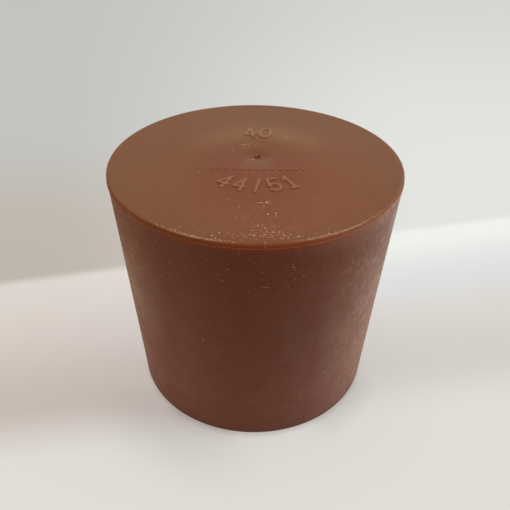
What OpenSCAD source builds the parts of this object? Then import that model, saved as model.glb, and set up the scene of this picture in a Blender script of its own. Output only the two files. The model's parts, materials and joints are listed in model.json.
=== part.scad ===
// Solid tapered rubber stopper for the neck of a flask or bottle, standing on its small end.
// It is moulded in one piece. The plug tapers from head to foot and has a short straight lip
// round its head. The head carries raised size numerals, a second raised number, a plain row of
// dots, and the shallow sink with the torn pit where the rubber was let into the mould.
// Millimetres. The origin is the centre of the foot's face, and +Z runs up the axis to the head.

/* [Plug] */
// Diameter of the foot, where the taper meets the plane of the foot's face
foot_d = 44; // [34:0.5:49]
// Diameter of the head, over the lip
head_d = 51; // [46:0.5:64]
// Height from the foot's face to the head's face
plug_h = 45; // [25:0.5:70]
// Rounding of the foot's edge
foot_edge_r = 1.5; // [0.4:0.1:4]
// Rounding of the head's edge
head_edge_r = 0.35; // [0.1:0.05:0.6]

/* [Lip] */
// Height of the straight lip round the head
lip_h = 0.9; // [0.7:0.1:3]
// How far the lip stands out from the taper below it
lip_step = 0.12; // [0.05:0.01:0.6]

/* [Gate] */
// How far the gate lies to the right of the axis
gate_x = 0.3; // [-2:0.1:2]
// How far the gate lies behind the axis
gate_y = 2.8; // [-3:0.1:3]
// Diameter of the shallow sink round the gate
sink_d = 14.5; // [12:0.5:16]
// Depth of the sink
sink_depth = 0.25; // [0.1:0.05:0.6]
// Diameter of the funnel inside the sink
funnel_d = 6; // [3:0.5:8]
// Depth of the funnel, from the bottom of the sink
funnel_depth = 0.2; // [0.1:0.05:0.6]
// Diameter of the torn pit at its mouth
pit_d = 1.5; // [0.8:0.1:2]
// Diameter of the pit at its bottom
pit_bottom_d = 0.6; // [0.2:0.1:0.7]
// Depth of the pit, from the bottom of the funnel
pit_depth = 1.1; // [0.4:0.1:3]

/* [Numerals] */
// Height of a numeral
numeral_h = 4.4; // [3:0.1:5]
// Width of a numeral
numeral_w = 2.5; // [1.8:0.1:2.8]
// Width of a numeral's stroke
stroke_w = 0.6; // [0.3:0.05:0.7]
// How far the numerals stand up from the head's face
numeral_rise = 0.25; // [0.1:0.05:0.6]
// Radius from the gate to the middle of the size numerals, in front of it
size_r = 11.3; // [10.5:0.1:12.5]
// Angle from one size numeral to the next
size_pitch = 14; // [14:0.5:18]
// Second number, raised behind the gate
back_number = 40; // [1:1:99]
// Radius from the gate to the middle of the second number, behind it
back_r = 9; // [9:0.1:12]
// Angle from one digit of the second number to the next
back_pitch = 18.5; // [16:0.5:22]

/* [Dots] */
// Number of dots in the plain row between the gate and the size numerals
dot_count = 13; // [3:1:14]
// Distance from one dot to the next
dot_pitch = 1.3; // [0.9:0.05:1.35]
// Diameter of a dot
dot_d = 0.65; // [0.3:0.05:0.8]
// How far a dot stands up from the surface under it
dot_rise = 0.2; // [0.05:0.05:0.4]
// Distance from the gate to the row of dots
dot_row = 5.5; // [4.5:0.1:5.8]

/* [Hidden] */
$fn = 128;

foot_r = foot_d / 2;
head_r = head_d / 2;
lip_z = plug_h - lip_h;            // height of the parting line under the lip
waist_r = head_r - lip_step;       // radius of the taper where it meets the lip
taper_a = atan((waist_r - foot_r) / lip_z);
root = 1;                          // how deep raised marks are rooted in the body
arc_step = 15;                     // degrees from one point of a numeral's curve to the next
end_step = 45;                     // the same round the end of a stroke
curve_w = numeral_w - stroke_w;    // width and height of a numeral's centre line
curve_h = numeral_h - stroke_w;
size_text = str(round(foot_d), "/", round(head_d));

// Radius of the ball that leaves a hollow of diameter d and depth h in a flat face.
function ball_r(d, h) = (d * d / 4 + h * h) / (2 * h);

// How deep such a hollow is at distance r from its middle, and 0 outside it.
function hollow_depth(r, d, h) =
    r < d / 2 ? sqrt(pow(ball_r(d, h), 2) - r * r) - ball_r(d, h) + h : 0;

// Height of the head's face at distance r from the gate, outside the pit.
funnel_rim_depth = hollow_depth(funnel_d / 2, sink_d, sink_depth);
function face_z(r) =
    plug_h - (r < funnel_d / 2 ? funnel_rim_depth + hollow_depth(r, funnel_d, funnel_depth)
                               : hollow_depth(r, sink_d, sink_depth));

// Points of an arc of an ellipse with half-axes rx and ry, from angle a to angle b.
function arc(centre, rx, ry, a, b, step = arc_step) =
    let (steps = max(1, ceil(abs(b - a) / step)))
    [for (i = [0 : steps]) let (t = a + (b - a) * i / steps)
        [centre[0] + rx * cos(t), centre[1] + ry * sin(t)]];

function unit(v) = v / norm(v);
function left_of(v) = [-v[1], v[0]];
function heading(v) = atan2(v[1], v[0]);

// Point i of a path moved sideways to the edge of a stroke, w to the left, mitred at bends.
function edge_point(path, i, w) =
    let (before = unit(path[i] - path[i - 1]),
         side = unit(left_of(before) + left_of(unit(path[i + 1] - path[i]))))
    path[i] + side * w / (side * left_of(before));

// Half-round end of a stroke at the start of a path, from its right edge to its left.
function round_end(path) =
    let (a = heading(path[0] - path[1]), r = stroke_w / 2)
    arc(path[0], r, r, a + 90, a - 90, end_step);

// One stroke of a numeral along a path that has no sharp corner, with the round ends of a cutter.
module stroke(path) {
    last = len(path) - 1;
    back = [for (i = [last : -1 : 0]) path[i]];
    polygon(concat(
        round_end(path), [for (i = [1 : 1 : last - 1]) edge_point(path, i, stroke_w / 2)],
        round_end(back), [for (i = [1 : 1 : last - 1]) edge_point(back, i, stroke_w / 2)]));
}

// Straight strokes from each point of a path to the next.
module strokes(path) {
    for (i = [1 : len(path) - 1]) stroke([path[i - 1], path[i]]);
}

// A closed oval stroke, whose centre line has half-axes rx and ry.
module oval(centre, rx, ry) {
    half = stroke_w / 2;
    difference() {
        polygon(arc(centre, rx + half, ry + half, 0, 360 - arc_step));
        polygon(arc(centre, rx - half, ry - half, 0, 360 - arc_step));
    }
}

// The flat shape of one character, a digit or a slash, centred on the origin.
module numeral(c) {
    x = curve_w / 2;
    y = curve_h / 2;
    bowl = y * 0.56;               // half-height of the bowl of a 5, 6 or 9
    waist = -y * 0.35;             // height of the crossbar of a 4
    stem = x * 0.4;                // how far the stem of a 4 stands to the right
    foot = x * 0.6;                // half-length of the foot of a 1
    if (c == "0") oval([0, 0], x, y);
    if (c == "1") {
        strokes([[-foot, y * 0.55], [0, y], [0, -y]]);
        strokes([[-foot, -y], [foot, -y]]);
    }
    if (c == "2") {
        stroke(concat(arc([0, y - x], x, x, 165, -40), [[-x, -y]]));
        strokes([[-x, -y], [x, -y]]);
    }
    if (c == "3") for (s = [-1, 1]) stroke(arc([0, s * y / 2], x, y / 2, -90 * s, 150 * s));
    if (c == "4") strokes([[stem, -y], [stem, y], [-x, waist], [x, waist]]);
    if (c == "5") {
        strokes([[x * 0.85, y], [-x * 0.75, y], [-x * 0.85, bowl * 1.5 - y]]);
        stroke(arc([0, bowl - y], x, bowl, 150, -145));
    }
    if (c == "6") {
        oval([0, bowl - y], x, bowl);
        stroke(arc([x, bowl - y], 2 * x, 2 * y - bowl, 180, 100));
    }
    if (c == "7") strokes([[-x, y], [x, y], [-x * 0.3, -y]]);
    if (c == "8") for (s = [-1, 1]) oval([0, s * y / 2], x, y / 2);
    if (c == "9") rotate(180) numeral("6");
    if (c == "/") strokes([[-x * 0.4, -y * 1.1], [x * 0.4, y * 1.1]]);
}

// Characters raised on the head's face, set round the gate on radius r, one every pitch degrees.
// They all read from the front: in front of the gate (side -1) their feet point away from it,
// and behind it (side 1) their heads do.
module raised_text(text, r, pitch, side) {
    for (i = [0 : len(text) - 1])
        rotate(-side * (i - (len(text) - 1) / 2) * pitch)
            translate([0, side * r, plug_h - root])
                linear_extrude(root + numeral_rise) numeral(text[i]);
}

// Plain row of round dots between the gate and the size numerals, following the sink's surface.
module dots() {
    for (i = [0 : dot_count - 1]) {
        x = (i - (dot_count - 1) / 2) * dot_pitch;
        translate([x, -dot_row, plug_h - root])
            cylinder(d = dot_d, h = root + dot_rise + face_z(norm([x, dot_row])) - plug_h);
    }
}

// Half section of the plug, foot's edge and lip's edge rounded.
module plug_section() {
    foot_c = [foot_r + foot_edge_r * (tan(taper_a) - 1 / cos(taper_a)), foot_edge_r];
    head_c = [head_r - head_edge_r, plug_h - head_edge_r];
    polygon([
        [0, 0],
        [foot_c[0], 0],
        foot_c + foot_edge_r * [cos(taper_a), -sin(taper_a)],
        [waist_r, lip_z],
        [head_r, lip_z],
        [head_r, head_c[1]],
        [head_c[0], plug_h],
        [0, plug_h]
    ]);
    translate(foot_c) circle(foot_edge_r);
    translate(head_c) circle(head_edge_r);
}

// What the gate leaves out of the head: the sink, the funnel in it and the torn pit.
module gate_hollow() {
    funnel_floor = face_z(0);
    translate([0, 0, plug_h - sink_depth + ball_r(sink_d, sink_depth)])
        sphere(ball_r(sink_d, sink_depth));
    translate([0, 0, funnel_floor + ball_r(funnel_d, funnel_depth)])
        sphere(ball_r(funnel_d, funnel_depth));
    translate([0, 0, funnel_floor - pit_depth])
        cylinder(d1 = pit_bottom_d, d2 = pit_d, h = pit_depth + funnel_depth);
}

module stopper() color("saddlebrown") {
    difference() {
        rotate_extrude() plug_section();
        translate([gate_x, gate_y, 0]) gate_hollow();
    }
    translate([gate_x, gate_y, 0]) {
        raised_text(size_text, size_r, size_pitch, -1);
        raised_text(str(back_number), back_r, back_pitch, 1);
        dots();
    }
}

stopper();
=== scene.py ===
# %% [markdown]
# # A moulded rubber stopper
#
# The object is one piece of red-brown natural rubber: a tapered plug that stands on its small
# end, with a thin straight lip round its head. The mould has left everything that makes it look
# real: raised numerals, a row of dots, the sink and the torn pit where the rubber was let in,
# and a fine parting line under the lip.
#
# The construction model holds the true sizes and is loaded first, as a frame that nothing
# here moves. This script then makes the part that the eye sees, from those sizes.

# %% Load the frame
import json
import math
from functools import partial
from types import SimpleNamespace
import bpy
import numpy as np
from mathutils import Matrix, Vector


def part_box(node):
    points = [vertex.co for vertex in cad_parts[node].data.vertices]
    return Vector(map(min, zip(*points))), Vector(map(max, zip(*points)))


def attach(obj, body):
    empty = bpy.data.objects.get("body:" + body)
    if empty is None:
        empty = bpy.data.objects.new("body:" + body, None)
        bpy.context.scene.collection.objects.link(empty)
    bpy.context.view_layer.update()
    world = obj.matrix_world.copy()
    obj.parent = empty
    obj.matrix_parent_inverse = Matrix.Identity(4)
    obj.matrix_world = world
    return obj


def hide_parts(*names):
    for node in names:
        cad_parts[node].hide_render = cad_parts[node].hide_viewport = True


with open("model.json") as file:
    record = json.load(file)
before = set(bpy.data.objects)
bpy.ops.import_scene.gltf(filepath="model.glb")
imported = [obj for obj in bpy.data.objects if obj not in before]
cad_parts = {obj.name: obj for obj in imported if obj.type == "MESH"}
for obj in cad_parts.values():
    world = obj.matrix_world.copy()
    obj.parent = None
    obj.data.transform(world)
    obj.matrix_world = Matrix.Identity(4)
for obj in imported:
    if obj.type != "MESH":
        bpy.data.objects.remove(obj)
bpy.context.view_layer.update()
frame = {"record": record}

# %% [markdown]
# ## Sizes
#
# Everything is worked out from the frame and from the sizes that the mould gave the real
# stopper. Blender works in metres, so each size is written in millimetres times MM. Taking the
# head's height from the record's mount keeps this script right if the frame changes.

# %% Sizes of the stopper
MM = 0.001
mounts = {m["name"]: m for m in frame["record"]["mounts"]}
head_z = mounts["head_face"]["pos_m"][2]
head_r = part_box("stopper")[1][0]
foot_r = 22 * MM

lip_h = 0.9 * MM
lip_step = 0.12 * MM
head_edge_r = 0.3 * MM
foot_edge_r = 1.5 * MM
bead_r = 0.05 * MM
gate = (0.3 * MM, 2.8 * MM)
print(f"head {2000 * head_r:.1f} mm, foot {2000 * foot_r:.1f} mm, height {1000 * head_z:.1f} mm")

# %% [markdown]
# ## Numerals as strokes
#
# A mould's numerals are cut with a small round-ended cutter, so each is a few strokes of one
# width. Blender's text object could draw them, but its outlines have sharp shoulders and
# another maker's shapes. Strokes are better here: the distance from a point to the nearest
# stroke is all that is needed to raise soft, rounded figures out of a surface.

# %% Strokes of each character, in millimetres round its own centre
numeral_h = 4.4
numeral_w = 2.5
stroke_w = 0.6


def arc(centre, rx, ry, start, stop, step=15):
    """Points of an arc of an ellipse, in degrees."""
    count = max(1, math.ceil(abs(stop - start) / step))
    turns = [math.radians(start + (stop - start) * i / count) for i in range(count + 1)]
    return [(centre[0] + rx * math.cos(t), centre[1] + ry * math.sin(t)) for t in turns]


def strokes(character):
    """The paths of a character's strokes."""
    x = (numeral_w - stroke_w) / 2
    y = (numeral_h - stroke_w) / 2
    belly = y * 0.56
    stem = x * 0.4
    waist = -y * 0.35
    foot = x * 0.6
    return {
        "0": [arc((0, 0), x, y, 0, 360)],
        "1": [[(-foot, y * 0.55), (0, y), (0, -y)], [(-foot, -y), (foot, -y)]],
        "4": [[(stem, -y), (stem, y), (-x, waist), (x, waist)]],
        "5": [[(x * 0.85, y), (-x * 0.75, y), (-x * 0.85, belly * 1.5 - y)],
              arc((0, belly - y), x, belly, 150, -145)],
        "/": [[(-x * 0.4, -y * 1.1), (x * 0.4, y * 1.1)]],
    }[character]


print("strokes in a 4:", len(strokes("4")), "and in a 5:", len(strokes("5")))

# %% Where the characters and dots stand on the head, in millimetres and degrees round the gate
size_text = f"{round(2 * foot_r / MM)}/{round(2 * head_r / MM)}"
size_r, size_pitch = 11.3, 14
back_text = "40"
back_r, back_pitch = 9, 18.5
dot_count, dot_pitch, dot_row = 13, 1.3, 5.5


def placed(text, radius, pitch, side):
    """Each character with its centre and turn: side -1 is in front of the gate, 1 behind it."""
    for i, character in enumerate(text):
        turn = math.radians(-side * (i - (len(text) - 1) / 2) * pitch)
        centre = (-side * radius * math.sin(turn), side * radius * math.cos(turn))
        yield character, centre, turn


marks = [*placed(size_text, size_r, size_pitch, -1), *placed(back_text, back_r, back_pitch, 1)]
dots = [((i - (dot_count - 1) / 2) * dot_pitch, -dot_row) for i in range(dot_count)]
print("raised on the head:", size_text, "and", back_text, "and", len(dots), "dots")

# %% [markdown]
# ## The head's face as a height
#
# Everything on the head is a gentle rise or sink of one surface, so the face is a height that
# depends on where you are. That is easier to shape than a stack of booleans, and it gives the
# soft shoulders that rubber takes from a worn mould: each stroke is a rounded ridge, the gate's
# sink and funnel are shallow bowls, and the pit has a ragged mouth with a torn lip.

# %% Sizes of the marks and of the gate, in millimetres
numeral_rise = 0.24
ridge_r, ridge_shoulder = 0.72 * stroke_w, 0.5 * stroke_w
dot_rise = 0.2
dot_r, dot_shoulder = 0.44, 0.3
sink_r, sink_depth = 8.2, 0.27
funnel_r, funnel_depth = 3.6, 0.2
pit_r, pit_depth, pit_wall = 0.75, 1.0, 0.5
torn_rise, torn_w, torn_out, torn_turn = 0.16, 0.16, 0.12, math.radians(-135)


# %% Height of the head's face
def smooth(value):
    """0 below 0, 1 above 1, and an S-shaped ramp between them."""
    value = np.clip(value, 0, 1)
    return value * value * (3 - 2 * value)


def bowl(distance, radius, depth):
    """Depth of a shallow round bowl with a soft rim."""
    return depth * smooth(1 - distance / radius)


def near_path(x, y, path):
    """Distance from each point to a path of straight pieces."""
    best = np.full(x.shape, np.inf)
    for (ax, ay), (bx, by) in zip(path, path[1:]):
        dx, dy = bx - ax, by - ay
        along = np.clip(((x - ax) * dx + (y - ay) * dy) / (dx * dx + dy * dy), 0, 1)
        best = np.minimum(best, np.hypot(x - ax - along * dx, y - ay - along * dy))
    return best


def relief(x, y):
    """Rise of the numerals and dots, in millimetres, at x and y in millimetres from the gate."""
    rise = np.zeros(x.shape)
    for character, centre, turn in marks:
        px, py = x - centre[0], y - centre[1]
        lx = px * math.cos(turn) + py * math.sin(turn)
        ly = py * math.cos(turn) - px * math.sin(turn)
        for path in strokes(character):
            inside = (ridge_r - near_path(lx, ly, path)) / ridge_shoulder
            rise = np.maximum(rise, numeral_rise * smooth(inside))
    for dx, dy in dots:
        inside = (dot_r - np.hypot(x - dx, y - dy)) / dot_shoulder
        rise = np.maximum(rise, dot_rise * smooth(inside))
    return rise


def pit(x, y):
    """Depth of the torn pit, with the lip that the gate's stalk pulled up at its front left."""
    r, turn = np.hypot(x, y), np.arctan2(y, x)
    # The mouth is a little oval, with five ragged points.
    mouth = pit_r * (1 - 0.16 * np.cos(2 * turn + 0.3) + 0.14 * np.sin(5 * turn + 2.0))
    pulled_up = torn_rise * np.exp(-((r - mouth - torn_out) / torn_w) ** 2)
    torn = np.clip(np.cos(turn - torn_turn), 0, 1) ** 2
    return pit_depth * smooth((mouth - r) / pit_wall) - pulled_up * torn


def face_height(x, y):
    """Height of the head's face over its flat level, in millimetres, from the gate."""
    r = np.hypot(x, y)
    sunk = bowl(r, sink_r, sink_depth) + bowl(r, funnel_r, funnel_depth)
    return relief(x, y) - sunk - pit(x, y)


print("rise on a dot:", round(float(relief(np.array([0.0]), np.array([-dot_row]))[0]), 3), "mm")

# %% [markdown]
# ## One closed skin
#
# The skin is rings of points. On the head they run round the gate, close together and with
# narrow sectors only where something is raised, so that the detail is where it shows. Further
# out they slide over to circles round the axis, and then follow the plug's section: the lip's
# rounded edge, its straight side, the bead of the parting line, the taper and the foot.

# %% Sectors and rings
def sector_turns():
    """Turns of the sectors, in degrees: fine behind and in front of the gate, coarse elsewhere."""
    spans = [(-148, -32, 232), (-32, 64, 34), (64, 116, 104), (116, 212, 34)]
    return np.radians(np.concatenate(
        [np.linspace(start, stop, count, endpoint=False) for start, stop, count in spans]))


def section():
    """The plug's half section from the head's edge down to the foot's middle: (radius, height)."""
    lip_r = head_r - bead_r
    lip_z = head_z - lip_h
    waist_r = head_r - lip_step
    taper = math.atan((waist_r - foot_r) / lip_z)
    foot_c = foot_r + foot_edge_r * (math.tan(taper) - 1 / math.cos(taper))
    tangent = (foot_c + foot_edge_r * math.cos(taper), foot_edge_r * (1 - math.sin(taper)))
    points = arc((lip_r - head_edge_r, head_z - head_edge_r), head_edge_r, head_edge_r, 90, 0, 15)
    points += [(lip_r, lip_z + h * MM) for h in (0.45, 0.2, 0.12)]
    points += arc((lip_r, lip_z + bead_r), bead_r, bead_r, 60, -70, 45)
    points += [(waist_r + 0.01 * MM, lip_z), (waist_r, lip_z - bead_r)]
    for share in np.linspace(0.01, 1, 24):
        points.append((waist_r + (tangent[0] - waist_r) * share,
                       lip_z + (tangent[1] - lip_z) * share))
    points += arc((foot_c, foot_edge_r), foot_edge_r, foot_edge_r,
                  -math.degrees(taper) - 8, -90, 10)
    points += [(foot_c * share, 0.0) for share in (0.97, 0.8, 0.6, 0.4, 0.2)]
    return points


turns = sector_turns()
profile = section()
print(len(turns), "sectors,", len(profile), "rings from the lip to the foot")

# %% [markdown]
# ## Rubber is never quite true
#
# Rubber shrinks a little unevenly as it cools, so a face that was flat in the mould comes out
# with waves of a few hundredths of a millimetre. They are too low to measure by eye, but they
# bend the soft reflections on the head. A few sine waves in seeded random directions do it.

# %% Unevenness, and the rings of the head and the side
head_wave, head_wave_length = 0.02 * MM, 11 * MM
side_wave, side_wave_length = 0.05 * MM, 26 * MM
calm_w = 3 * MM         # the head's waves die out over this width before its edge
calm_h = 4 * MM         # the side's waves die out over this height at the lip and at the foot
wave_low = 0.6          # the head's waves are this share lower, to stay under the frame's top
side_in = 0.02 * MM     # the side is drawn in by this, to stay inside the frame


def waves(x, y, z, length, count, seed):
    """Gentle unevenness between -1 and 1, with waves of about one length in metres."""
    rng = np.random.default_rng(seed)
    total = np.zeros(np.broadcast(x, y, z).shape)
    for _ in range(count):
        way = rng.normal(size=3)
        way *= 2 * math.pi / (length * np.linalg.norm(way))
        total += np.sin(way[0] * x + way[1] * y + way[2] * z + rng.uniform(0, 2 * math.pi))
    return total / count


def head_rings():
    """Rings of the head's face, from the gate out to where the lip's edge starts to turn."""
    ux, uy = np.cos(turns), np.sin(turns)
    edge_r = profile[0][0]
    rings = [(gate[0] + r * ux, gate[1] + r * uy) for r in np.arange(0.09, 13.9, 0.1) * MM]
    inner_x, inner_y = rings[-1]
    for share in (0.06, 0.15, 0.27, 0.4, 0.55, 0.7, 0.83, 0.93):
        rings.append((inner_x + (edge_r * ux - inner_x) * share,
                      inner_y + (edge_r * uy - inner_y) * share))
    out = []
    for x, y in rings:
        height = face_height((x - gate[0]) / MM, (y - gate[1]) / MM) * MM
        calm = smooth((edge_r - np.hypot(x, y)) / calm_w)
        height += head_wave * (waves(x, y, 0, head_wave_length, 7, 5) - wave_low) * calm
        out.append(np.stack([x, y, head_z + height], axis=1))
    return out


def side_rings():
    """Rings from the lip's edge to the foot, very slightly out of true as moulded rubber is."""
    ux, uy = np.cos(turns), np.sin(turns)
    out = []
    for r, z in profile:
        swell = side_wave * waves(r * ux, r * uy, z, side_wave_length, 6, 8)
        swell *= smooth(z / calm_h) * smooth((head_z - lip_h - z) / calm_h)
        radius = r + swell - side_in * (z > calm_h)
        out.append(np.stack([radius * ux, radius * uy, np.full(ux.shape, z)], axis=1))
    return out


print("rings on the head:", len(head_rings()), "and on the side:", len(side_rings()))


# %% Build the skin
def skin(name, rings, top, bottom):
    """A closed mesh from rings of equal length, with a point at its top and at its bottom."""
    n = len(rings[0])
    points = [top, *np.concatenate(rings), bottom]

    def ring(k):
        """The numbers of the points of ring k."""
        return range(1 + k * n, 1 + (k + 1) * n)

    faces = []
    first, last = ring(0), ring(len(rings) - 1)
    for i in range(n):
        j = (i + 1) % n
        faces.append((0, first[i], first[j]))
        faces.append((len(points) - 1, last[j], last[i]))
    for k in range(len(rings) - 1):
        upper, lower = ring(k), ring(k + 1)
        for i in range(n):
            j = (i + 1) % n
            faces.append((upper[i], lower[i], lower[j], upper[j]))
    mesh = bpy.data.meshes.new(name)
    mesh.from_pydata([tuple(p) for p in points], [], faces)
    mesh.shade_smooth()
    made = bpy.data.objects.new(name, mesh)
    bpy.context.collection.objects.link(made)
    return made


gate_floor = (gate[0], gate[1], head_z + float(face_height(np.zeros(1), np.zeros(1))[0]) * MM)
stopper = skin("moulded_stopper", head_rings() + side_rings(), gate_floor, (0, 0, 0))
triangles = sum(len(p.vertices) - 2 for p in stopper.data.polygons)
print("moulded_stopper:", len(stopper.data.vertices), "points,", triangles, "triangles")

# %% [markdown]
# ## Where the rubber is raised
#
# What stands proud is paler on top, partly rubbed and partly a painted highlight, and the
# corners beside it get painted shade. The finish has to know where that is. A number stored at
# each point of the mesh tells it: 1 on top of a numeral and 0 on the plain face. It is called
# raised, and the material reads it.

# %% Store how far each point is raised
spots = np.array([v.co for v in stopper.data.vertices])
on_face = spots[:, 2] > head_z - 0.9 * lip_h
proud = relief(*((spots[:, :2] - gate) / MM).T) / numeral_rise * on_face
stopper.data.attributes.new("raised", "FLOAT", "POINT").data.foreach_set("value", proud)
print("points on top of a mark:", int((proud > 0.8).sum()))

# %% [markdown]
# ## Colour and coats
#
# Colours are written as sRGB hex values, as a paint program shows them, and one function turns
# them into the linear values that Blender's shaders work in. One more function adds a node of
# any kind with its settings and links. Most of a finish is then coats: a tint laid over the
# colour so far, and only where several fades agree. Multiplying the fades says just that.

# %% Colour
def linear(code):
    """An sRGB hex colour as linear red, green and blue, with an alpha of 1."""
    parts = [int(code[i:i + 2], 16) / 255 for i in (1, 3, 5)]
    return (*[p / 12.92 if p <= 0.04045 else ((p + 0.055) / 1.055) ** 2.4 for p in parts], 1.0)


print("rubber brown in linear light:", [round(v, 3) for v in linear("#7C4025")])


# %% Nodes, fades and coats
def add(tree, kind, inputs=None, **settings):
    """Adds a node. Settings are its properties, inputs its sockets' values or what feeds them."""
    made = tree.nodes.new("ShaderNode" + kind)
    for name, value in settings.items():
        setattr(made, name, value)
    for name, value in (inputs or {}).items():
        if isinstance(value, bpy.types.NodeSocket):
            tree.links.new(value, made.inputs[name])
        else:
            made.inputs[name].default_value = value
    return made


def new_material(name):
    """An empty node material with its tree."""
    made = bpy.data.materials.new(name)
    made.use_nodes = True
    made.node_tree.nodes.clear()
    return made, made.node_tree


def share(tree, *fades, ease="LINEAR"):
    """How far some fades agree: their product.

    A fade is a number, what a node gives, or (value, start, stop, low, high): the value carried
    from start..stop to low..high and held at the ends. Low and high are 0 and 1 if left out.
    """
    product = None
    for fade in fades:
        if isinstance(fade, tuple):
            fade = add(tree, "MapRange", dict(enumerate(fade)), interpolation_type=ease).outputs[0]
        if product is None:
            product = fade
        else:
            product = add(tree, "Math", {0: product, 1: fade}, operation="MULTIPLY").outputs[0]
    return product


def coat(tree, under, tint, *fades, ease="LINEAR"):
    """A colour with a tint laid over it as far as the fades agree. Either may be a hex value."""
    under, tint = [linear(tone) if isinstance(tone, str) else tone for tone in (under, tint)]
    amount = share(tree, *fades, ease=ease)
    return add(tree, "Mix", {0: amount, 6: under, 7: tint}, data_type="RGBA").outputs[2]


print("ready: nodes, shares of fades, and coats")

# %% [markdown]
# ## Moulded natural rubber
#
# Natural rubber filled with clay and iron oxide is an opaque red-brown. Pressed in a polished
# steel mould it comes out satin: a soft sheen that grows pale at a grazing angle, and no mirror.
# In store a little wax and sulphur creep to the surface as a faint chalky bloom. A single colour
# would look like painted plastic, so the colour is built up as it came about: plain rubber that
# drifts over centimetres and is mottled at about a millimetre, and then what the mould's gate,
# the bench and years in a drawer did to it.
#
# Each coat has to know where on the plug it is. The object's own coordinates tell that. They
# are turned into millimetres first, so that every fade below is written in millimetres. The
# tints were matched to the object from one side, so a few coats hold some of its room's light as
# well as its rubber: the browner left half of the head, the flanks' film and the darker foot.
# Others are light and shade painted into the colour: painted shade in the gate's sink, at the
# feet of the marks, at the edge's far left and at the foot, and painted highlights and sheen on
# the lip, the head's edge, the tops of the marks and the flanks.

# %% Places, parts and patterns of the plug
lip_mm = lip_h / MM
front_mid_x = 1.0        # middle of the lip's front, where the lip's colour reaches over the edge
front_in = 4         # half the width of that front where it is full
front_out = 9        # half its width where it ends


def pattern(tree, point, size, detail, rough=0.5, stretch=1.0):
    """Random patches about size millimetres wide, and longer up the plug if stretched."""
    point = add(tree, "Mapping", {0: point, 3: (1.0, 1.0, 1.0 / stretch)}).outputs[0]
    return add(tree, "TexNoise", {"Vector": point, "Scale": 1 / size, "Detail": detail,
                                  "Roughness": rough}).outputs[0]


def places(tree):
    """Where a point is on the plug, in millimetres."""
    point = add(tree, "TexCoord").outputs["Object"]
    point = add(tree, "VectorMath", {0: point, "Scale": 1 / MM}, operation="SCALE").outputs[0]
    x, y, z = add(tree, "SeparateXYZ", {0: point}).outputs
    flat = add(tree, "CombineXYZ", {0: x, 1: y}).outputs[0]
    radius = add(tree, "VectorMath", {0: flat}, operation="LENGTH").outputs["Value"]
    inset = add(tree, "Math", {0: head_r / MM, 1: radius}, operation="SUBTRACT").outputs[0]
    down = add(tree, "Math", {0: head_z / MM, 1: z}, operation="SUBTRACT").outputs[0]
    off_front_mid = add(tree, "Math", {0: x, 1: front_mid_x}, operation="SUBTRACT").outputs[0]
    off_front_mid = add(tree, "Math", {0: off_front_mid}, operation="ABSOLUTE").outputs[0]
    to_side = add(tree, "Math", {0: x}, operation="ABSOLUTE").outputs[0]
    return SimpleNamespace(point=point, x=x, y=y, z=z, radius=radius, inset=inset, down=down,
                           off_front_mid=off_front_mid, to_side=to_side)


def add_parts(tree, at):
    """Shares that are 1 on one part of the plug, and the patterns that several coats use."""
    at.on_plug = share(tree, (at.down, lip_mm, lip_mm + 0.15))
    at.on_head = share(tree, (at.on_plug, 0.0, 1.0, 1.0, 0.0))
    at.on_rim = share(tree, (at.inset, 0.35, 0.2))
    at.worn = share(tree, (at.off_front_mid, front_in, front_out, 0.95, 0.0))
    under_edge = add(tree, "Math", {0: share(tree, (at.down, 0.10, 0.28)), 1: at.worn},
                     operation="MAXIMUM").outputs[0]
    at.lip_side = share(tree, at.on_rim, under_edge)
    at.side = add(tree, "Math", {0: share(tree, at.lip_side, 0.9), 1: at.on_plug},
                  operation="MAXIMUM").outputs[0]
    at.drift = pattern(tree, at.point, 16, 3.0)
    at.mottle = pattern(tree, at.point, 1.3, 4.0)
    at.grain = pattern(tree, at.point, 0.35, 3.0)


print("worn front of the lip, in mm:", front_mid_x - front_out, "to", front_mid_x + front_out)

# %% [markdown]
# ## The lip
#
# The lip sits where the mould's two halves met, so it is handled and rubbed more than anything
# else. Its side is redder than the rubber round it, because the dull skin has worn off. At the
# front middle the lip's colour reaches up over the edge, and the top of its side is a painted
# highlight there. Just under the lip the plug's top is painted lighter, close to the lip's
# orange, which lifts the shadow under the lip's step, and the parting line at the lip's foot is
# a thin painted highlight. A line of geometry alone would leave all of it one brown.

# %% Coats of the lip, and the mottle
def lip_coats(tree, at, body):
    """The lip's redder side and front, and painted light on its top, under it and on its bead."""
    body = coat(tree, body, "#7E401F", (at.inset, 2.2, 1.1, 0.0, 0.9), at.worn, at.on_head)
    side = coat(tree, "#A5481D", "#AE4F25", at.drift)
    # Painted highlight: the top of the lip's side is lighter at the front middle, where the edge
    # turns up.
    side = coat(tree, side, "#BC5C30", (at.down, 0.50, 0.28), at.worn, 0.8)
    side = coat(tree, side, "#824220", (at.down, 0.22, 0.06))
    body = coat(tree, body, side, at.lip_side)
    # Painted light: the plug just under the lip keeps much of the lip's lighter orange, lifting its
    # shadow.
    body = coat(tree, body, "#814428", at.on_plug,
                (at.down, lip_mm + 0.1, lip_mm + 1.0, 0.3, 1.0))
    # Painted highlight: a thin pale line on the lip's foot, at the bead of the parting line.
    return coat(tree, body, "#C07850", (at.down, lip_mm - 0.25, lip_mm - 0.05), at.on_rim,
                at.on_head, 0.35)


def mottle_coat(tree, at, body):
    """The whole body a few per cent lighter and darker in patches."""
    shade = share(tree, (at.mottle, 0.3, 0.7, 0.93, 1.07))
    return add(tree, "Mix", {0: 1.0, 6: body, 7: shade}, data_type="RGBA",
               blend_type="MULTIPLY").outputs[2]


print("the lip's redder side is", round(lip_mm, 2), "mm high")

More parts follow.
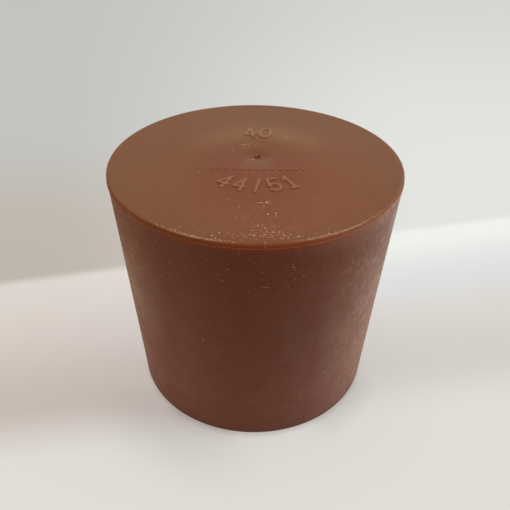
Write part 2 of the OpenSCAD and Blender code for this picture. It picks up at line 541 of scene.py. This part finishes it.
# %% [markdown]
# ## The head's face and the gate
#
# Round the gate the rubber came in hot and was torn off cold, which leaves a torn pit in a
# shallow sink. The sink and the pit's mouth get painted shade, the pit's inside is painted
# paler to lift its shade, and a paler ring behind the sink is a painted sheen. One pale patch
# beside the gate is a painted reflection on the funnel's front slope, another is a pale mark
# behind it. Further out the head turns darker and greener in patches. All of these are soft
# round patches, so one function gives a patch and the rest is where and how strong.

# %% Coats of the head's face
def round_patch(tree, at, x, y, core, edge, inside=1.0, outside=0.0):
    """A fade round a spot of the head's face, from inside the core to outside the edge."""
    away = add(tree, "VectorMath", {0: at.point, 1: (x, y, head_z / MM)}, operation="DISTANCE")
    return share(tree, (away.outputs["Value"], core, edge, inside, outside))


def face_coats(tree, at, body):
    """Darker, greener patches further out, a browner left half and painted sheen behind the gate."""
    patchy = share(tree, (pattern(tree, at.point, 4, 4.0), 0.3, 0.7, 0.7, 1.3), at.on_head)
    body = coat(tree, body, "#3E5838", round_patch(tree, at, 2, -8, 8, 26, 0.0, 0.17), patchy)
    body = coat(tree, body, "#77451E", (at.x, -4, -15, 0.0, 0.36), at.on_head)
    middle = (gate[0] / MM, gate[1] / MM)
    # Painted sheen: a paler ring on the rise behind the gate's sink.
    ring = share(tree, round_patch(tree, at, *middle, 5.5, 8.5, 0.0, 1.0),
                 round_patch(tree, at, *middle, 10, 15))
    return coat(tree, body, "#B18A62", ring, (at.y, 4, 10, 0.0, 0.15), (at.x, -12, 6, 0.5, 1.1))


# Painted shade in the sink and round the pit: (x, y, core, edge, strength, tint).
sink_shades = [(0.3, -1.5, 6, 12, 0.16, "#6C3810"), (0, -5.5, 7, 14, 0.24, "#6C300A"),
              (0.4, 3.2, 1.0, 2.6, 0.24, "#4E2A14")]
# Pale patches by the gate, the first a painted reflection: (x, y, radius, strength).
pale_patches = [(0.1, 0.2, 3.6, 0.10), (-1.2, 6.6, 2.2, 0.08)]


def gate_coats(tree, at, body):
    """Painted shade in the sink, pale patches by the gate, and painted light in the pit."""
    for x, y, core, edge, strength, tint in sink_shades:
        body = coat(tree, body, tint, round_patch(tree, at, x, y, core, edge, strength),
                    at.on_head)
    for x, y, size, strength in pale_patches:
        body = coat(tree, body, "#8C8860", round_patch(tree, at, x, y, size / 3, size, strength),
                    (at.mottle, 0.4, 0.6, 0.4, 1.6))
    # Painted light: the inside of the pit is paler, which lifts the pit's shade.
    return coat(tree, body, "#9C6040", (at.down, 0.45, 0.65), (at.radius, 8, 10, 1.0, 0.0),
                (at.down, 4, 3))


print("tones in the sink:", len(sink_shades), "and scars:", len(pale_patches))

# %% [markdown]
# ## Raised marks and the rim's painted highlight
#
# The tops of the numerals and dots are pale, partly rubbed and partly a painted highlight, and
# the corners at their feet are darkened with painted shade. The number stored at each point of
# the mesh, raised, says which is which. The head's edge has a thin painted highlight on both
# sides of its front middle, and painted shade at the far left. A fine grain breaks the highlight
# up.

# %% Coats of the marks and the rim
edge_highlight_w = 0.6     # width of the painted highlight on the head's edge, in mm


def mark_coats(tree, at, body):
    """Painted shade at the feet and pale tops, rubbed and a painted highlight, on raised marks."""
    raised = add(tree, "Attribute", attribute_name="raised").outputs["Fac"]
    # Painted shade: the corners at the feet of the raised marks are darker.
    body = coat(tree, body, "#6B2F14", (raised, 0.0, 0.25), (raised, 0.35, 0.8, 1.0, 0.0), 0.36)
    # Pale tops, partly rubbed and partly a painted highlight.
    return coat(tree, body, "#B58460", (raised, 0.4, 0.9), 0.32)


def rim_coats(tree, at, body):
    """A dusty tone on the lip's right, painted shade on the far left edge and a painted highlight."""
    body = coat(tree, body, "#BE8166", at.lip_side, (at.x, 5, 14, 0.0, 0.38))
    # Painted shade: the head's edge is darker at the far left.
    body = coat(tree, body, "#82401F", at.on_rim, (at.down, 0.32, 0.15),
                (at.x, -12, -16, 0.0, 0.85))
    # Painted highlight: a thin pale line on the head's edge, left out at its front middle.
    edge_highlight = share(tree, (at.off_front_mid, front_in, front_out, 0.0, 0.42), (at.x, -15, -9),
                   (at.x, 15, 20, 1.0, 0.3), (at.grain, 0.38, 0.62, 0.45, 1.35))
    return coat(tree, body, "#CC9678", edge_highlight, (at.down, 0.14, 0.04), (at.inset, edge_highlight_w, 0.4))


print("pale line on the head's edge:", edge_highlight_w, "mm wide")

# %% [markdown]
# ## Bloom and painted sheen on the flanks
#
# The pale film on the flanks is partly chalky bloom and partly a painted sheen: rubber turns pale
# where it turns away from the eye, so the film is laid on the two flanks and hardly on the
# front. A facing weight would follow the eye round the plug, but this film differs from left to
# right and from top to bottom, so it is laid by place. It is chalk on rubber: uneven at about a
# millimetre, drawn out a little up and down, and clouded over some five millimetres. Real chalk
# is finer than that, and is drawn this coarse so that it shows.

# %% Coats of the flanks
bloom_and_sheen_right = (10.3, 22.3)      # x where the film starts and where it is full
bloom_and_sheen_left = (-14.5, -20)       # the same on the left


def bloom_and_sheen_coats(tree, at, body):
    """Bloom and painted sheen on both flanks, greyer on the right, with brighter dabs in it."""
    right = share(tree, (at.x, *bloom_and_sheen_right))
    left = share(tree, (at.x, *bloom_and_sheen_left, 0.0, 0.85), (at.z, 17, 26, 0.3, 1.0),
                 (at.z, 30, 42, 1.0, 0.75))
    flank = add(tree, "Math", {0: right, 1: left}, operation="ADD").outputs[0]
    flank = share(tree, flank, (at.z, 40, 24, 0.95, 1.4), (at.z, 10, 22, 0.75, 1.0),
                  (at.z, 0.3, 2), (at.y, -6, 5, 1.0, 0.42), at.side)
    chalk = share(tree, (pattern(tree, at.point, 0.9, 5.0, 0.7), 0.38, 0.62, 0.52, 1.04),
                  (pattern(tree, at.point, 1.2, 3.0, 0.6, 4.0), 0.35, 0.65, 0.85, 1.1),
                  (pattern(tree, at.point, 5, 3.0), 0.35, 0.65, 0.65, 1.0))
    lower = (at.z, 40, 24)
    grey = coat(tree, "#C0A294", "#C69E88", lower)
    warm = coat(tree, "#9A5C22", "#B88E70", lower)
    # Bloom and painted sheen: the pale film is laid on the flanks, where rubber turns from the eye.
    body = coat(tree, body, coat(tree, warm, grey, right), flank, chalk)
    dabs = share(tree, (pattern(tree, at.point, 1.0, 3.0), 0.54, 0.64),
                 (pattern(tree, at.point, 3, 3.0), 0.44, 0.58))
    return coat(tree, body, "#CCAC9A", dabs, (at.to_side, 12, 19, 0.25, 0.8),
                (at.x, -8, 0, 0.35, 1.0), flank)


def haze_and_sheen_coats(tree, at, body):
    """Hazy film and painted sheen on the side, more lower down, and painted shade at the foot."""
    haze_and_sheen = share(tree, (pattern(tree, at.point, 3, 4.0), 0.35, 0.65, 0.6, 1.0), at.on_plug,
                 (at.to_side, 2, 12, 0.8, 1.4), (at.x, 4, 12, 1.0, 1.3), (at.x, -3, -9, 1.0, 1.3))
    # Haze and painted sheen: a pale tone over the side, more toward the flanks and lower down.
    body = coat(tree, body, coat(tree, "#A87460", "#9E7876", (at.x, -6, 6)), haze_and_sheen,
                (at.z, 40, 24, 0.09, 0.21))
    # Painted shade: darker toward the foot, and a darker line round its lower edge.
    body = coat(tree, body, "#5E3426", (at.z, 10, 0.5, 0.0, 0.34))
    return coat(tree, body, "#56422C", (at.z, 2.0, 1.1, 0.0, 0.5))


print("bloom starts at x =", bloom_and_sheen_left[0], "and", bloom_and_sheen_right[0], "mm")

# %% [markdown]
# ## The rubber's shine
#
# Rubber's index of refraction is about 1.52. A polished mould gives a roughness near 0.4 on the
# head, and the bloom makes the plug's side duller, as wear does the rim. The specular level was
# matched to the object: at the usual 0.5 the head turned too pale at this low angle, and a dusty
# skin does mirror less than bare rubber. A grain of a third of a millimetre, a few thousandths
# deep, breaks up the last of the mirror.

# %% Material: moulded natural rubber
side_duller, rim_duller = 0.18, 0.25


def rubber_material():
    """Satin red-brown rubber with all its coats."""
    material, tree = new_material("moulded_natural_rubber")
    at = places(tree)
    add_parts(tree, at)
    body = coat(tree, "#7D4426", "#854D2C", at.drift)
    for lay in (lip_coats, mottle_coat, face_coats, gate_coats, mark_coats, rim_coats,
                bloom_and_sheen_coats, haze_and_sheen_coats):
        body = lay(tree, at, body)
    bump = add(tree, "Bump", {"Strength": 0.25, "Distance": 0.02 * MM, "Height": at.grain})
    rough = share(tree, (at.mottle, 0.2, 0.8, 0.36, 0.46))
    for part, duller in ((at.on_plug, side_duller), (share(tree, at.on_rim, at.on_head), rim_duller)):
        rough = add(tree, "Math", {0: part, 1: duller, 2: rough},
                    operation="MULTIPLY_ADD").outputs[0]
    shader = add(tree, "BsdfPrincipled", {
        "Base Color": body, "Roughness": rough, "IOR": 1.52,
        "Specular IOR Level": 0.16, "Normal": bump.outputs[0]})
    add(tree, "OutputMaterial", {0: shader.outputs[0]})
    print(material.name, "has", len(tree.nodes), "nodes")
    return material


stopper.data.materials.append(rubber_material())
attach(stopper, "root")
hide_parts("stopper")

# %% [markdown]
# ## Dust and lint
#
# Rubber is soft and a little tacky, so it holds dust. Painting specks into the colour would be
# cheaper, but real grains catch the light and cast a shadow, so each fleck here is a tiny closed
# lump pressed into the surface, and each fibre is a thin tube laid along it. The random ones come
# from a seeded generator, which puts them in the same places on every run.

# %% Places on the surface
dust_top = 0.18     # dust starts no higher than this over the head, in mm, to stay in the box


def on_head_face(x, y):
    """A point of the head's face and its outward direction, from x and y in millimetres."""
    rise = face_height(np.array([x - gate[0] / MM]), np.array([y - gate[1] / MM]))[0]
    level = min(float(rise), dust_top)
    return Vector((x * MM, y * MM, head_z + level * MM)), Vector((0, 0, 1))


def on_side(turn, height):
    """A point of the plug's side, turned round from the front in degrees, at a height in mm."""
    top_r, top_z = head_r - lip_step, head_z - lip_h
    radius = foot_r + (top_r - foot_r) * height * MM / top_z
    t = math.radians(turn - 90)
    outward = Vector((math.cos(t), math.sin(t), -(top_r - foot_r) / top_z)).normalized()
    return Vector((radius * math.cos(t), radius * math.sin(t), height * MM)), outward


def on_edge(turn, radius):
    """A point of the head's face by its turn from the front in degrees and radius in mm."""
    t = math.radians(turn)
    return on_head_face(radius * math.sin(t), -radius * math.cos(t))


print("front of the side at 40 mm:", [round(v * 1000, 2) for v in on_side(0, 40)[0]])

# %% A fleck and a fibre
dust_rng = np.random.default_rng(12)
dust_points, dust_faces = [], []
fleck_corners, fleck_rise = 6, 0.04
fibre_sides = 5


def fleck(place, outward, size):
    """A closed irregular lump, half sunk in the surface. Size is its width in millimetres."""
    side = outward.orthogonal().normalized()
    other = outward.cross(side)
    start = len(dust_points)
    stretch = dust_rng.uniform(0.6, 1.6)
    for i in range(fleck_corners):
        t = i * 2 * math.pi / fleck_corners + dust_rng.uniform(-0.3, 0.3)
        r = size * MM / 2 * dust_rng.uniform(0.7, 1.2)
        dust_points.append(place + side * (r * stretch * math.cos(t)) + other * (r * math.sin(t)))
    lift = min(size * 0.3, fleck_rise) * MM
    dust_points.extend([place + outward * lift, place - outward * lift])
    top, bottom = start + fleck_corners, start + fleck_corners + 1
    for i in range(fleck_corners):
        j = (i + 1) % fleck_corners
        dust_faces.append((start + i, start + j, top))
        dust_faces.append((start + j, start + i, bottom))


def fibre(path, width):
    """A closed thin tube along points with their outward directions, narrower at its ends."""
    start = len(dust_points)
    count = len(path)
    for k, (place, outward) in enumerate(path):
        along = (path[min(k + 1, count - 1)][0] - path[max(k - 1, 0)][0]).normalized()
        across = outward.cross(along).normalized()
        r = width * MM / 2 * (0.5 if k in (0, count - 1) else 1.0)
        for i in range(fibre_sides):
            t = i * 2 * math.pi / fibre_sides
            dust_points.append(place + across * (r * math.cos(t)) + outward * (r * math.sin(t)))
    for k in range(count - 1):
        ring = start + fibre_sides * k
        for i in range(fibre_sides):
            a, b = ring + i, ring + (i + 1) % fibre_sides
            dust_faces.append((a, b, b + fibre_sides, a + fibre_sides))
    dust_faces.append(tuple(start + i for i in reversed(range(fibre_sides))))
    dust_faces.append(tuple(start + fibre_sides * (count - 1) + i for i in range(fibre_sides)))


def face_fibre(points, width):
    """A fibre on the head's face, through points in mm."""
    fibre([on_head_face(x, y) for x, y in points], width)


def side_fibre(points, width):
    """A fibre on the side, through points in degrees from the front and mm of height."""
    fibre([on_side(turn, height) for turn, height in points], width)


print("a fleck has", fleck_corners + 2, "points and a fibre", fibre_sides, "sides")

# %% [markdown]
# ## Flecks that stand out, and fine dust
#
# A few dozen flecks are large enough to be noticed one by one, so each has its own place in a
# list. They were picked by eye, and a helper outside this script turned nearly all their places
# into millimetres, which are rounded here. The rest is a scatter, and a scatter needs only a
# middle, a spread and a count. It is thickest at the front of the head's face and along its edge,
# and it thins down the side from the lip.

# %% Larger flecks: (turn from the front in degrees, height, width) and (x, y, width), in mm
for turn, height, size in [(-36, 42, 0.22), (-24, 39, 0.20), (-16, 41.5, 0.20), (-9, 40, 0.18),
                           (-11, 37.7, 0.22), (-12, 36, 0.18), (-32, 31.5, 0.20), (-37, 27, 0.16),
                           (-30, 26.5, 0.16), (-20, 24, 0.28), (-3, 28.6, 0.14), (3, 39.8, 0.20),
                           (14, 38, 0.20), (12, 36.4, 0.20), (33, 14, 0.22), (22, 9.3, 0.20)]:
    fleck(*on_side(turn, height), size)
for x, y, size in [(-4, 4.4, 0.2), (-10.4, -12.4, 0.22), (11, -21, 0.24), (-11, -21, 0.2),
                   (-9.5, -4, 0.16), (1.8, -13.6, 0.28), (-4.1, -13, 0.16), (-2.4, -15.2, 0.18),
                   (-1.8, -16.8, 0.18), (2, -17.2, 0.28), (3.2, -16.9, 0.22), (0.5, -20.4, 0.28),
                   (1.5, -21, 0.22), (-0.3, -21.8, 0.16), (1.7, -22.1, 0.2), (2.7, -22.1, 0.18),
                   (3.6, -22.1, 0.24), (-0.1, -23, 0.32), (0.9, -23.2, 0.32), (1.4, -23.2, 0.2),
                   (4.4, -23.1, 0.22), (0.4, -24, 0.2), (6.3, -23.2, 0.26), (7.1, -22.8, 0.2),
                   (8.9, -22.3, 0.16), (-7.3, -22.6, 0.18), (-6.1, -23.3, 0.2),
                   (-5.6, -23.9, 0.22), (-5.1, -22.5, 0.2)]:
    fleck(*on_head_face(x, y), size)
print("larger flecks:", len(dust_points) // (fleck_corners + 2))

# %% Fine dust
dusty_r = 24.8      # the head's dust stays inside this radius, in mm
dusty_back = 18     # and in front of this y
for centre, spread, count in [((1.2, -22.6), (3.2, 1.2), 90), ((1.5, -17.5), (2.8, 2.0), 34),
                              ((4.3, -23.4), (0.5, 1.0), 14), ((0, -12), (9, 9), 30)]:
    for _ in range(count):
        x, y = dust_rng.normal(centre, spread)
        if math.hypot(x, y) < dusty_r and y < dusty_back:
            fleck(*on_head_face(x, y), dust_rng.uniform(0.06, 0.15))

# Along the head's edge: (turns in degrees, radii, sizes in mm, count).
for between, radii, sizes, count in [((-60, 60), (22.5, 25.0), (0.05, 0.12), 46),
                                     ((-36, -6), (24.7, 25.15), (0.08, 0.16), 32),
                                     ((15, 30), (24.7, 25.15), (0.08, 0.16), 12)]:
    for _ in range(count):
        fleck(*on_edge(dust_rng.uniform(*between), dust_rng.uniform(*radii)),
              dust_rng.uniform(*sizes))

# Down the side: from under the lip at the front, on the two flanks, and a little all round.
for _ in range(150):
    height = 43.6 - abs(dust_rng.normal(0, 7.5))
    fleck(*on_side(dust_rng.normal(3, 30), height), dust_rng.uniform(0.05, 0.14))
for turn, spread, lowest, count in [(62, 10, 8, 150), (-60, 9, 20, 80)]:
    for _ in range(count):
        fleck(*on_side(dust_rng.normal(turn, spread), dust_rng.uniform(lowest, 43.5)),
              dust_rng.uniform(0.05, 0.13))
for _ in range(60):
    fleck(*on_side(dust_rng.uniform(-180, 180), dust_rng.uniform(3, 43)),
          dust_rng.uniform(0.06, 0.16))
print("flecks in all:", len(dust_points) // (fleck_corners + 2))

# %% [markdown]
# ## Fibres, and one that hangs over the edge
#
# Lint is short cotton and paper fibre. One of them bends over the head's edge, where it would
# float if it ran straight, so its middle points are turned round the edge's own curve. Most of
# the listed fibres got their places as the larger flecks did.

# %% Fibres
for points, width in [([(0.2, -13.9), (0.9, -13.8), (1.7, -13.95), (2.7, -13.85)], 0.09),
                      ([(-2.6, 6.9), (-1.8, 6.75), (-1.0, 6.8)], 0.12),
                      ([(-0.5, 6.8), (0.2, 6.75)], 0.1),
                      ([(5.7, 9.2), (5.6, 9.8), (5.7, 10.3)], 0.07),
                      ([(3.2, -17.3), (3.15, -17.8)], 0.08),
                      ([(-1.5, -17.9), (-1.55, -18.9)], 0.05),
                      ([(5.9, -17.8), (5.85, -18.7)], 0.05),
                      ([(0.45, -20.1), (0.5, -20.8)], 0.12)]:
    face_fibre(points, width)
for _ in range(14):
    x, y = dust_rng.normal((1.6, -22.5), (2.0, 0.8))
    t = dust_rng.uniform(-0.7, 0.7)
    bend = dust_rng.uniform(-0.2, 0.2)
    half = dust_rng.uniform(0.12, 0.3)
    face_fibre([(x - half * math.cos(t), y - half * math.sin(t)), (x, y + bend),
                (x + half * math.cos(t), y + half * math.sin(t))], 0.06)
for points, width in [([(12.6, 40.5), (13.3, 40.2), (14.0, 40.45)], 0.08),
                      ([(13.6, 39.7), (14.4, 39.8)], 0.07),
                      ([(-37, 35), (-35.5, 35.1)], 0.12),
                      ([(25, 40), (25, 39)], 0.12),
                      ([(17, 38.3), (19, 38.4)], 0.07),
                      ([(2.5, 36.8), (4, 36.9), (5.5, 36.7)], 0.05),
                      ([(-2, 42.2), (-1.2, 42.35)], 0.06),
                      ([(-0.4, 41.8), (0.4, 41.7)], 0.05)]:
    side_fibre(points, width)
for x, y, size in [(-0.55, 1.5, 0.25), (0.15, 3.6, 0.16)]:
    fleck(*on_head_face(x, y), size)

bent_x = 1.5 * MM                   # how far right of the middle the bent fibre lies
edge_in = bead_r + head_edge_r      # from the widest radius in to the middle of the edge's curve
bent_r = 0.28 * MM                  # radius of the bend, a little less than the edge's own
bend_middle = Vector((bent_x, -math.sqrt((head_r - edge_in) ** 2 - bent_x ** 2),
                      head_z - head_edge_r))
over_rim = [on_head_face(1.5, -24.6), on_head_face(1.5, -25.0)]
for turn_up in (60, 30, 0):
    t = math.radians(turn_up)
    outward = Vector((0, -math.cos(t), math.sin(t)))
    over_rim.append((bend_middle + outward * bent_r, outward))
over_rim.append((over_rim[-1][0] + Vector((0.15, 0, -0.5)) * MM, Vector((0, -1, 0))))
fibre(over_rim, 0.06)
print("points of the fibre over the edge:", len(over_rim))

# %% [markdown]
# ## Paper and cotton
#
# The dust is matt and a warm white: cellulose fibres with no sheen to speak of, browned a little
# by the rubber under them. All of it is one mesh with one material, which keeps the scene small.

# %% Material: dust
def dust_material():
    """Matt warm white, mixed in patches of 0.6 mm so that neighbouring flecks differ."""
    material, tree = new_material("paper_and_cotton_dust")
    place = add(tree, "TexCoord").outputs["Object"]
    mixed = add(tree, "TexNoise", {"Vector": place, "Scale": 1 / (0.6 * MM), "Detail": 2.0})
    tone = coat(tree, "#B88A62", "#F2D4B6", (mixed.outputs[0], 0.35, 0.65))
    shader = add(tree, "BsdfPrincipled", {"Base Color": tone, "Roughness": 0.9, "IOR": 1.45})
    add(tree, "OutputMaterial", {0: shader.outputs[0]})
    return material


dust_mesh = bpy.data.meshes.new("dust")
dust_mesh.from_pydata([tuple(p) for p in dust_points], [], dust_faces)
dust_mesh.materials.append(dust_material())
dust = bpy.data.objects.new("dust", dust_mesh)
bpy.context.collection.objects.link(dust)
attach(dust, "root")
print("dust:", len(dust_points), "points,", len(dust_faces), "faces")

# %% [markdown]
# ## Floor
#
# The stopper stands on a plain pale table with a pale wall behind it. Both are one large sheet
# whose tone changes with place. Where it is seen directly, or in a mirror or through glass, it
# shows those tones as they are written, mostly as plain emission, so that no lamp has to be
# turned up to make it white. Rays that only carry light meet a diffuse sheet that is darker in
# front of the stopper, which keeps it from lighting up the plug's front from below.
#
# The sheet is still diffuse in part, so the stopper's real shadow falls on it. The soft line at
# the foot and the shades at its left and right are in the tone. They are the part of the shadow
# that depends on what stands beside the camera, which the scene leaves out.

# %% What is seen directly, and places on the floor
from_eye = 170      # the floor's tones fan out from this far in front of the stopper, in mm
seen_plain = 0.78   # share of plain tone where it is seen directly; the rest takes shadows
soft_share = partial(share, ease="SMOOTHSTEP")
soft_coat = partial(coat, ease="SMOOTHSTEP")


def seen_directly(tree):
    """1 for rays that show a surface as it is, by sight or in a mirror or glass, and 0 for light."""
    rays = add(tree, "LightPath").outputs
    seen = rays["Is Camera Ray"]
    for kind in ("Is Glossy Ray", "Is Transmission Ray"):
        seen = add(tree, "Math", {0: seen, 1: rays[kind]}, operation="MAXIMUM").outputs[0]
    return seen


def floor_places(tree):
    """Where a point is on the floor, in millimetres from the stopper's axis."""
    point = add(tree, "NewGeometry").outputs["Position"]
    point = add(tree, "VectorMath", {0: point, "Scale": 1 / MM}, operation="SCALE").outputs[0]
    x, y, _ = add(tree, "SeparateXYZ", {0: point}).outputs
    away = add(tree, "VectorMath", {0: point}, operation="LENGTH").outputs["Value"]
    depth = add(tree, "Math", {0: y, 1: from_eye}, operation="ADD").outputs[0]
    sway = add(tree, "Math", {0: x, 1: depth}, operation="DIVIDE").outputs[0]
    slant, band = [add(tree, "Math", {0: x, 1: slope, 2: y}, operation="MULTIPLY_ADD").outputs[0]
                   for slope in (-0.254, -0.17)]
    return SimpleNamespace(x=x, y=y, away=away, slant=slant, band=band,
                           right=soft_share(tree, (sway, -0.28, 0.22)))


print("floor tones fan out from", from_eye, "mm in front")

# %% Tones of the table and the wall
def table_tone(tree, at):
    """The table's tones from left to right, in slanting bands from the front to the back."""
    beside = soft_coat(tree, "#DACFC8", "#DEDAD5", at.right)
    far = soft_coat(tree, "#E0D8D1", "#F2F3EE", at.right)
    tone = soft_coat(tree, beside, far, (at.slant, 10, 35))
    tone = soft_coat(tree, tone, "#DFE8EE", (at.slant, 3, 14), (at.slant, 21, 32, 0.35, 0.0),
                     at.right)
    dip = soft_coat(tree, "#CBBFB7", "#D6D1CC", at.right)
    tone = soft_coat(tree, tone, dip, (at.band, 14, -8))
    return soft_coat(tree, tone, "#E4E0DB", (at.band, -8, -23))


def toward(tree, at, turn):
    """Cosine of the turn from a direction, given in degrees from the front, to a point."""
    t = math.radians(turn)
    forward = add(tree, "Math", {0: at.y, 1: -math.cos(t)}, operation="MULTIPLY").outputs[0]
    along = add(tree, "Math", {0: at.x, 1: math.sin(t), 2: forward}, operation="MULTIPLY_ADD")
    return add(tree, "Math", {0: along.outputs[0], 1: at.away}, operation="DIVIDE").outputs[0]


def foot_shades(tree, at, tone):
    """The shade at the front left, the one at the right, and the soft line round the foot."""
    tone = soft_coat(tree, tone, "#8E7E74", (at.away, 22, 38, 0.27, 0.0), (at.x, 6, -18),
                     (at.y, -8, -18))
    tone = soft_coat(tree, tone, "#69655F", (at.away, 21, 28, 0.19, 0.0),
                     (toward(tree, at, 52), 0.90, 0.985))
    wide = soft_share(tree, (at.away, 21.5, 25.5, 0.14, 0.0), (toward(tree, at, -27), 0.92, 0.99))
    close = soft_share(tree, (at.away, 21.2, 22.9, 0.24, 0.0))
    line = add(tree, "Math", {0: wide, 1: close}, operation="ADD").outputs[0]
    return soft_coat(tree, tone, "#805842", line)


def wall_tone(tree, at):
    """The wall behind the table, lighter toward the right."""
    left = soft_coat(tree, "#C1B8AE", "#C4C4C1", (at.y, 35, 110))
    right = soft_coat(tree, "#E4E5E1", "#D6D8D5", (at.y, 80, 280))
    return soft_coat(tree, left, right, at.right)


print("the table's white is", [round(v, 2) for v in linear("#F2F3EE")[:3]], "in linear light")

# %% Material and sheet of the table
def table_material():
    """The floor as it is seen, and as light meets it."""
    material, tree = new_material("pale_table")
    at = floor_places(tree)
    tone = foot_shades(tree, at, table_tone(tree, at))
    tone = soft_coat(tree, tone, wall_tone(tree, at), (at.slant, 36, 40))
    near = soft_share(tree, (at.y, -60, -24, 0.10, 1.0))
    light = add(tree, "Mix", {0: 1.0, 6: tone, 7: near}, data_type="RGBA",
                blend_type="MULTIPLY").outputs[2]
    seen = seen_directly(tree)
    shaded = add(tree, "BsdfDiffuse", {0: soft_coat(tree, light, tone, seen)}).outputs[0]
    plain = add(tree, "Emission", {0: tone, 1: 1.0}).outputs[0]
    both = add(tree, "MixShader", {0: share(tree, seen, seen_plain), 1: shaded, 2: plain})
    add(tree, "OutputMaterial", {0: both.outputs[0]})
    return material


def table():
    """A square sheet three metres wide."""
    half = 1.5
    mesh = bpy.data.meshes.new("table")
    corners = [(-half, -half, 0), (half, -half, 0), (half, half, 0), (-half, half, 0)]
    mesh.from_pydata(corners, [], [(0, 1, 2, 3)])
    mesh.materials.append(table_material())
    made = bpy.data.objects.new("table", mesh)
    bpy.context.collection.objects.link(made)
    return made


table()
print("table:", len(bpy.data.materials["pale_table"].node_tree.nodes), "nodes")

# %% [markdown]
# ## Light
#
# The light is soft and comes mostly from above and behind, which leaves the front of the plug
# dark and lets its flanks and its head pick up a pale sheen at a grazing angle. Three large
# lamps give it a direction, stronger from the right. The room does the rest: for light it is
# brighter behind and to the right, and where it is seen directly it is one pale grey.

# %% Lamps
def soft_box(name, place, size, power):
    """A square white lamp that faces the stopper."""
    lamp = bpy.data.lights.new(name, "AREA")
    lamp.size = size
    lamp.energy = power
    made = bpy.data.objects.new(name, lamp)
    made.location = place
    aim = Vector((0, 0, head_z / 2)) - Vector(place)
    made.rotation_euler = aim.to_track_quat("-Z", "Y").to_euler()
    bpy.context.collection.objects.link(made)
    return made


lamps = [soft_box("light_above", (0.05, 0.25, 1.55), 1.2, 8.0),
         soft_box("light_right", (1.3, 0.15, 0.9), 0.9, 6.5),
         soft_box("light_left", (-1.3, 0.25, 0.9), 0.9, 3.2)]
print("lamps:", ", ".join(f"{lamp.name} {lamp.data.energy:.1f} W" for lamp in lamps))

# %% Room
def room():
    """A world that lights the stopper unevenly and looks plain."""
    world = bpy.data.worlds.new("room")
    world.use_nodes = True
    tree = world.node_tree
    tree.nodes.clear()
    x, y, _ = add(tree, "SeparateXYZ", {0: add(tree, "TexCoord").outputs["Generated"]}).outputs
    level = add(tree, "Math", {0: x, 1: 0.14, 2: share(tree, (y, -0.3, 0.6, 0.46, 0.70))},
                operation="MULTIPLY_ADD")
    light = add(tree, "Background", {0: linear("#F4F2EE"), 1: level.outputs[0]})
    plain = add(tree, "Background", {0: linear("#DADBD8"), 1: 1.0})
    both = add(tree, "MixShader", {0: seen_directly(tree), 1: light.outputs[0],
                                   2: plain.outputs[0]})
    add(tree, "OutputWorld", {0: both.outputs[0]})
    return world


bpy.context.scene.world = room()
print("room:", len(bpy.context.scene.world.node_tree.nodes), "nodes")

# %% [markdown]
# ## Camera
#
# The camera stands close in front of the stopper and about twice as high as its head, so the
# head's circle shows as a wide ellipse and the numerals can be read. It looks down by its pitch
# and leans by a very small roll, as a camera held by hand does. From so near the foot is clearly
# farther off than the head, so the sides run together more than the plug's own taper would.

# %% Camera
pitch = 0.6135      # below the horizon, in radians
roll = 0.0132
camera_data = bpy.data.cameras.new("camera")
camera_data.sensor_width = 36.0
camera_data.lens = 46.3553
camera_data.clip_start = 0.005
camera = bpy.data.objects.new("camera", camera_data)
camera.location = (0.11 * MM, -102.13 * MM, 97.2 * MM)
look = Matrix.Rotation(math.pi / 2 - pitch, 3, "X") @ Matrix.Rotation(roll, 3, "Z")
camera.rotation_euler = look.to_euler()
bpy.context.collection.objects.link(camera)
bpy.context.scene.camera = camera
bpy.context.scene.view_settings.view_transform = "Standard"
print(f"lens {camera_data.lens:.1f} mm, {1000 * camera.location.length:.0f} mm from the foot")
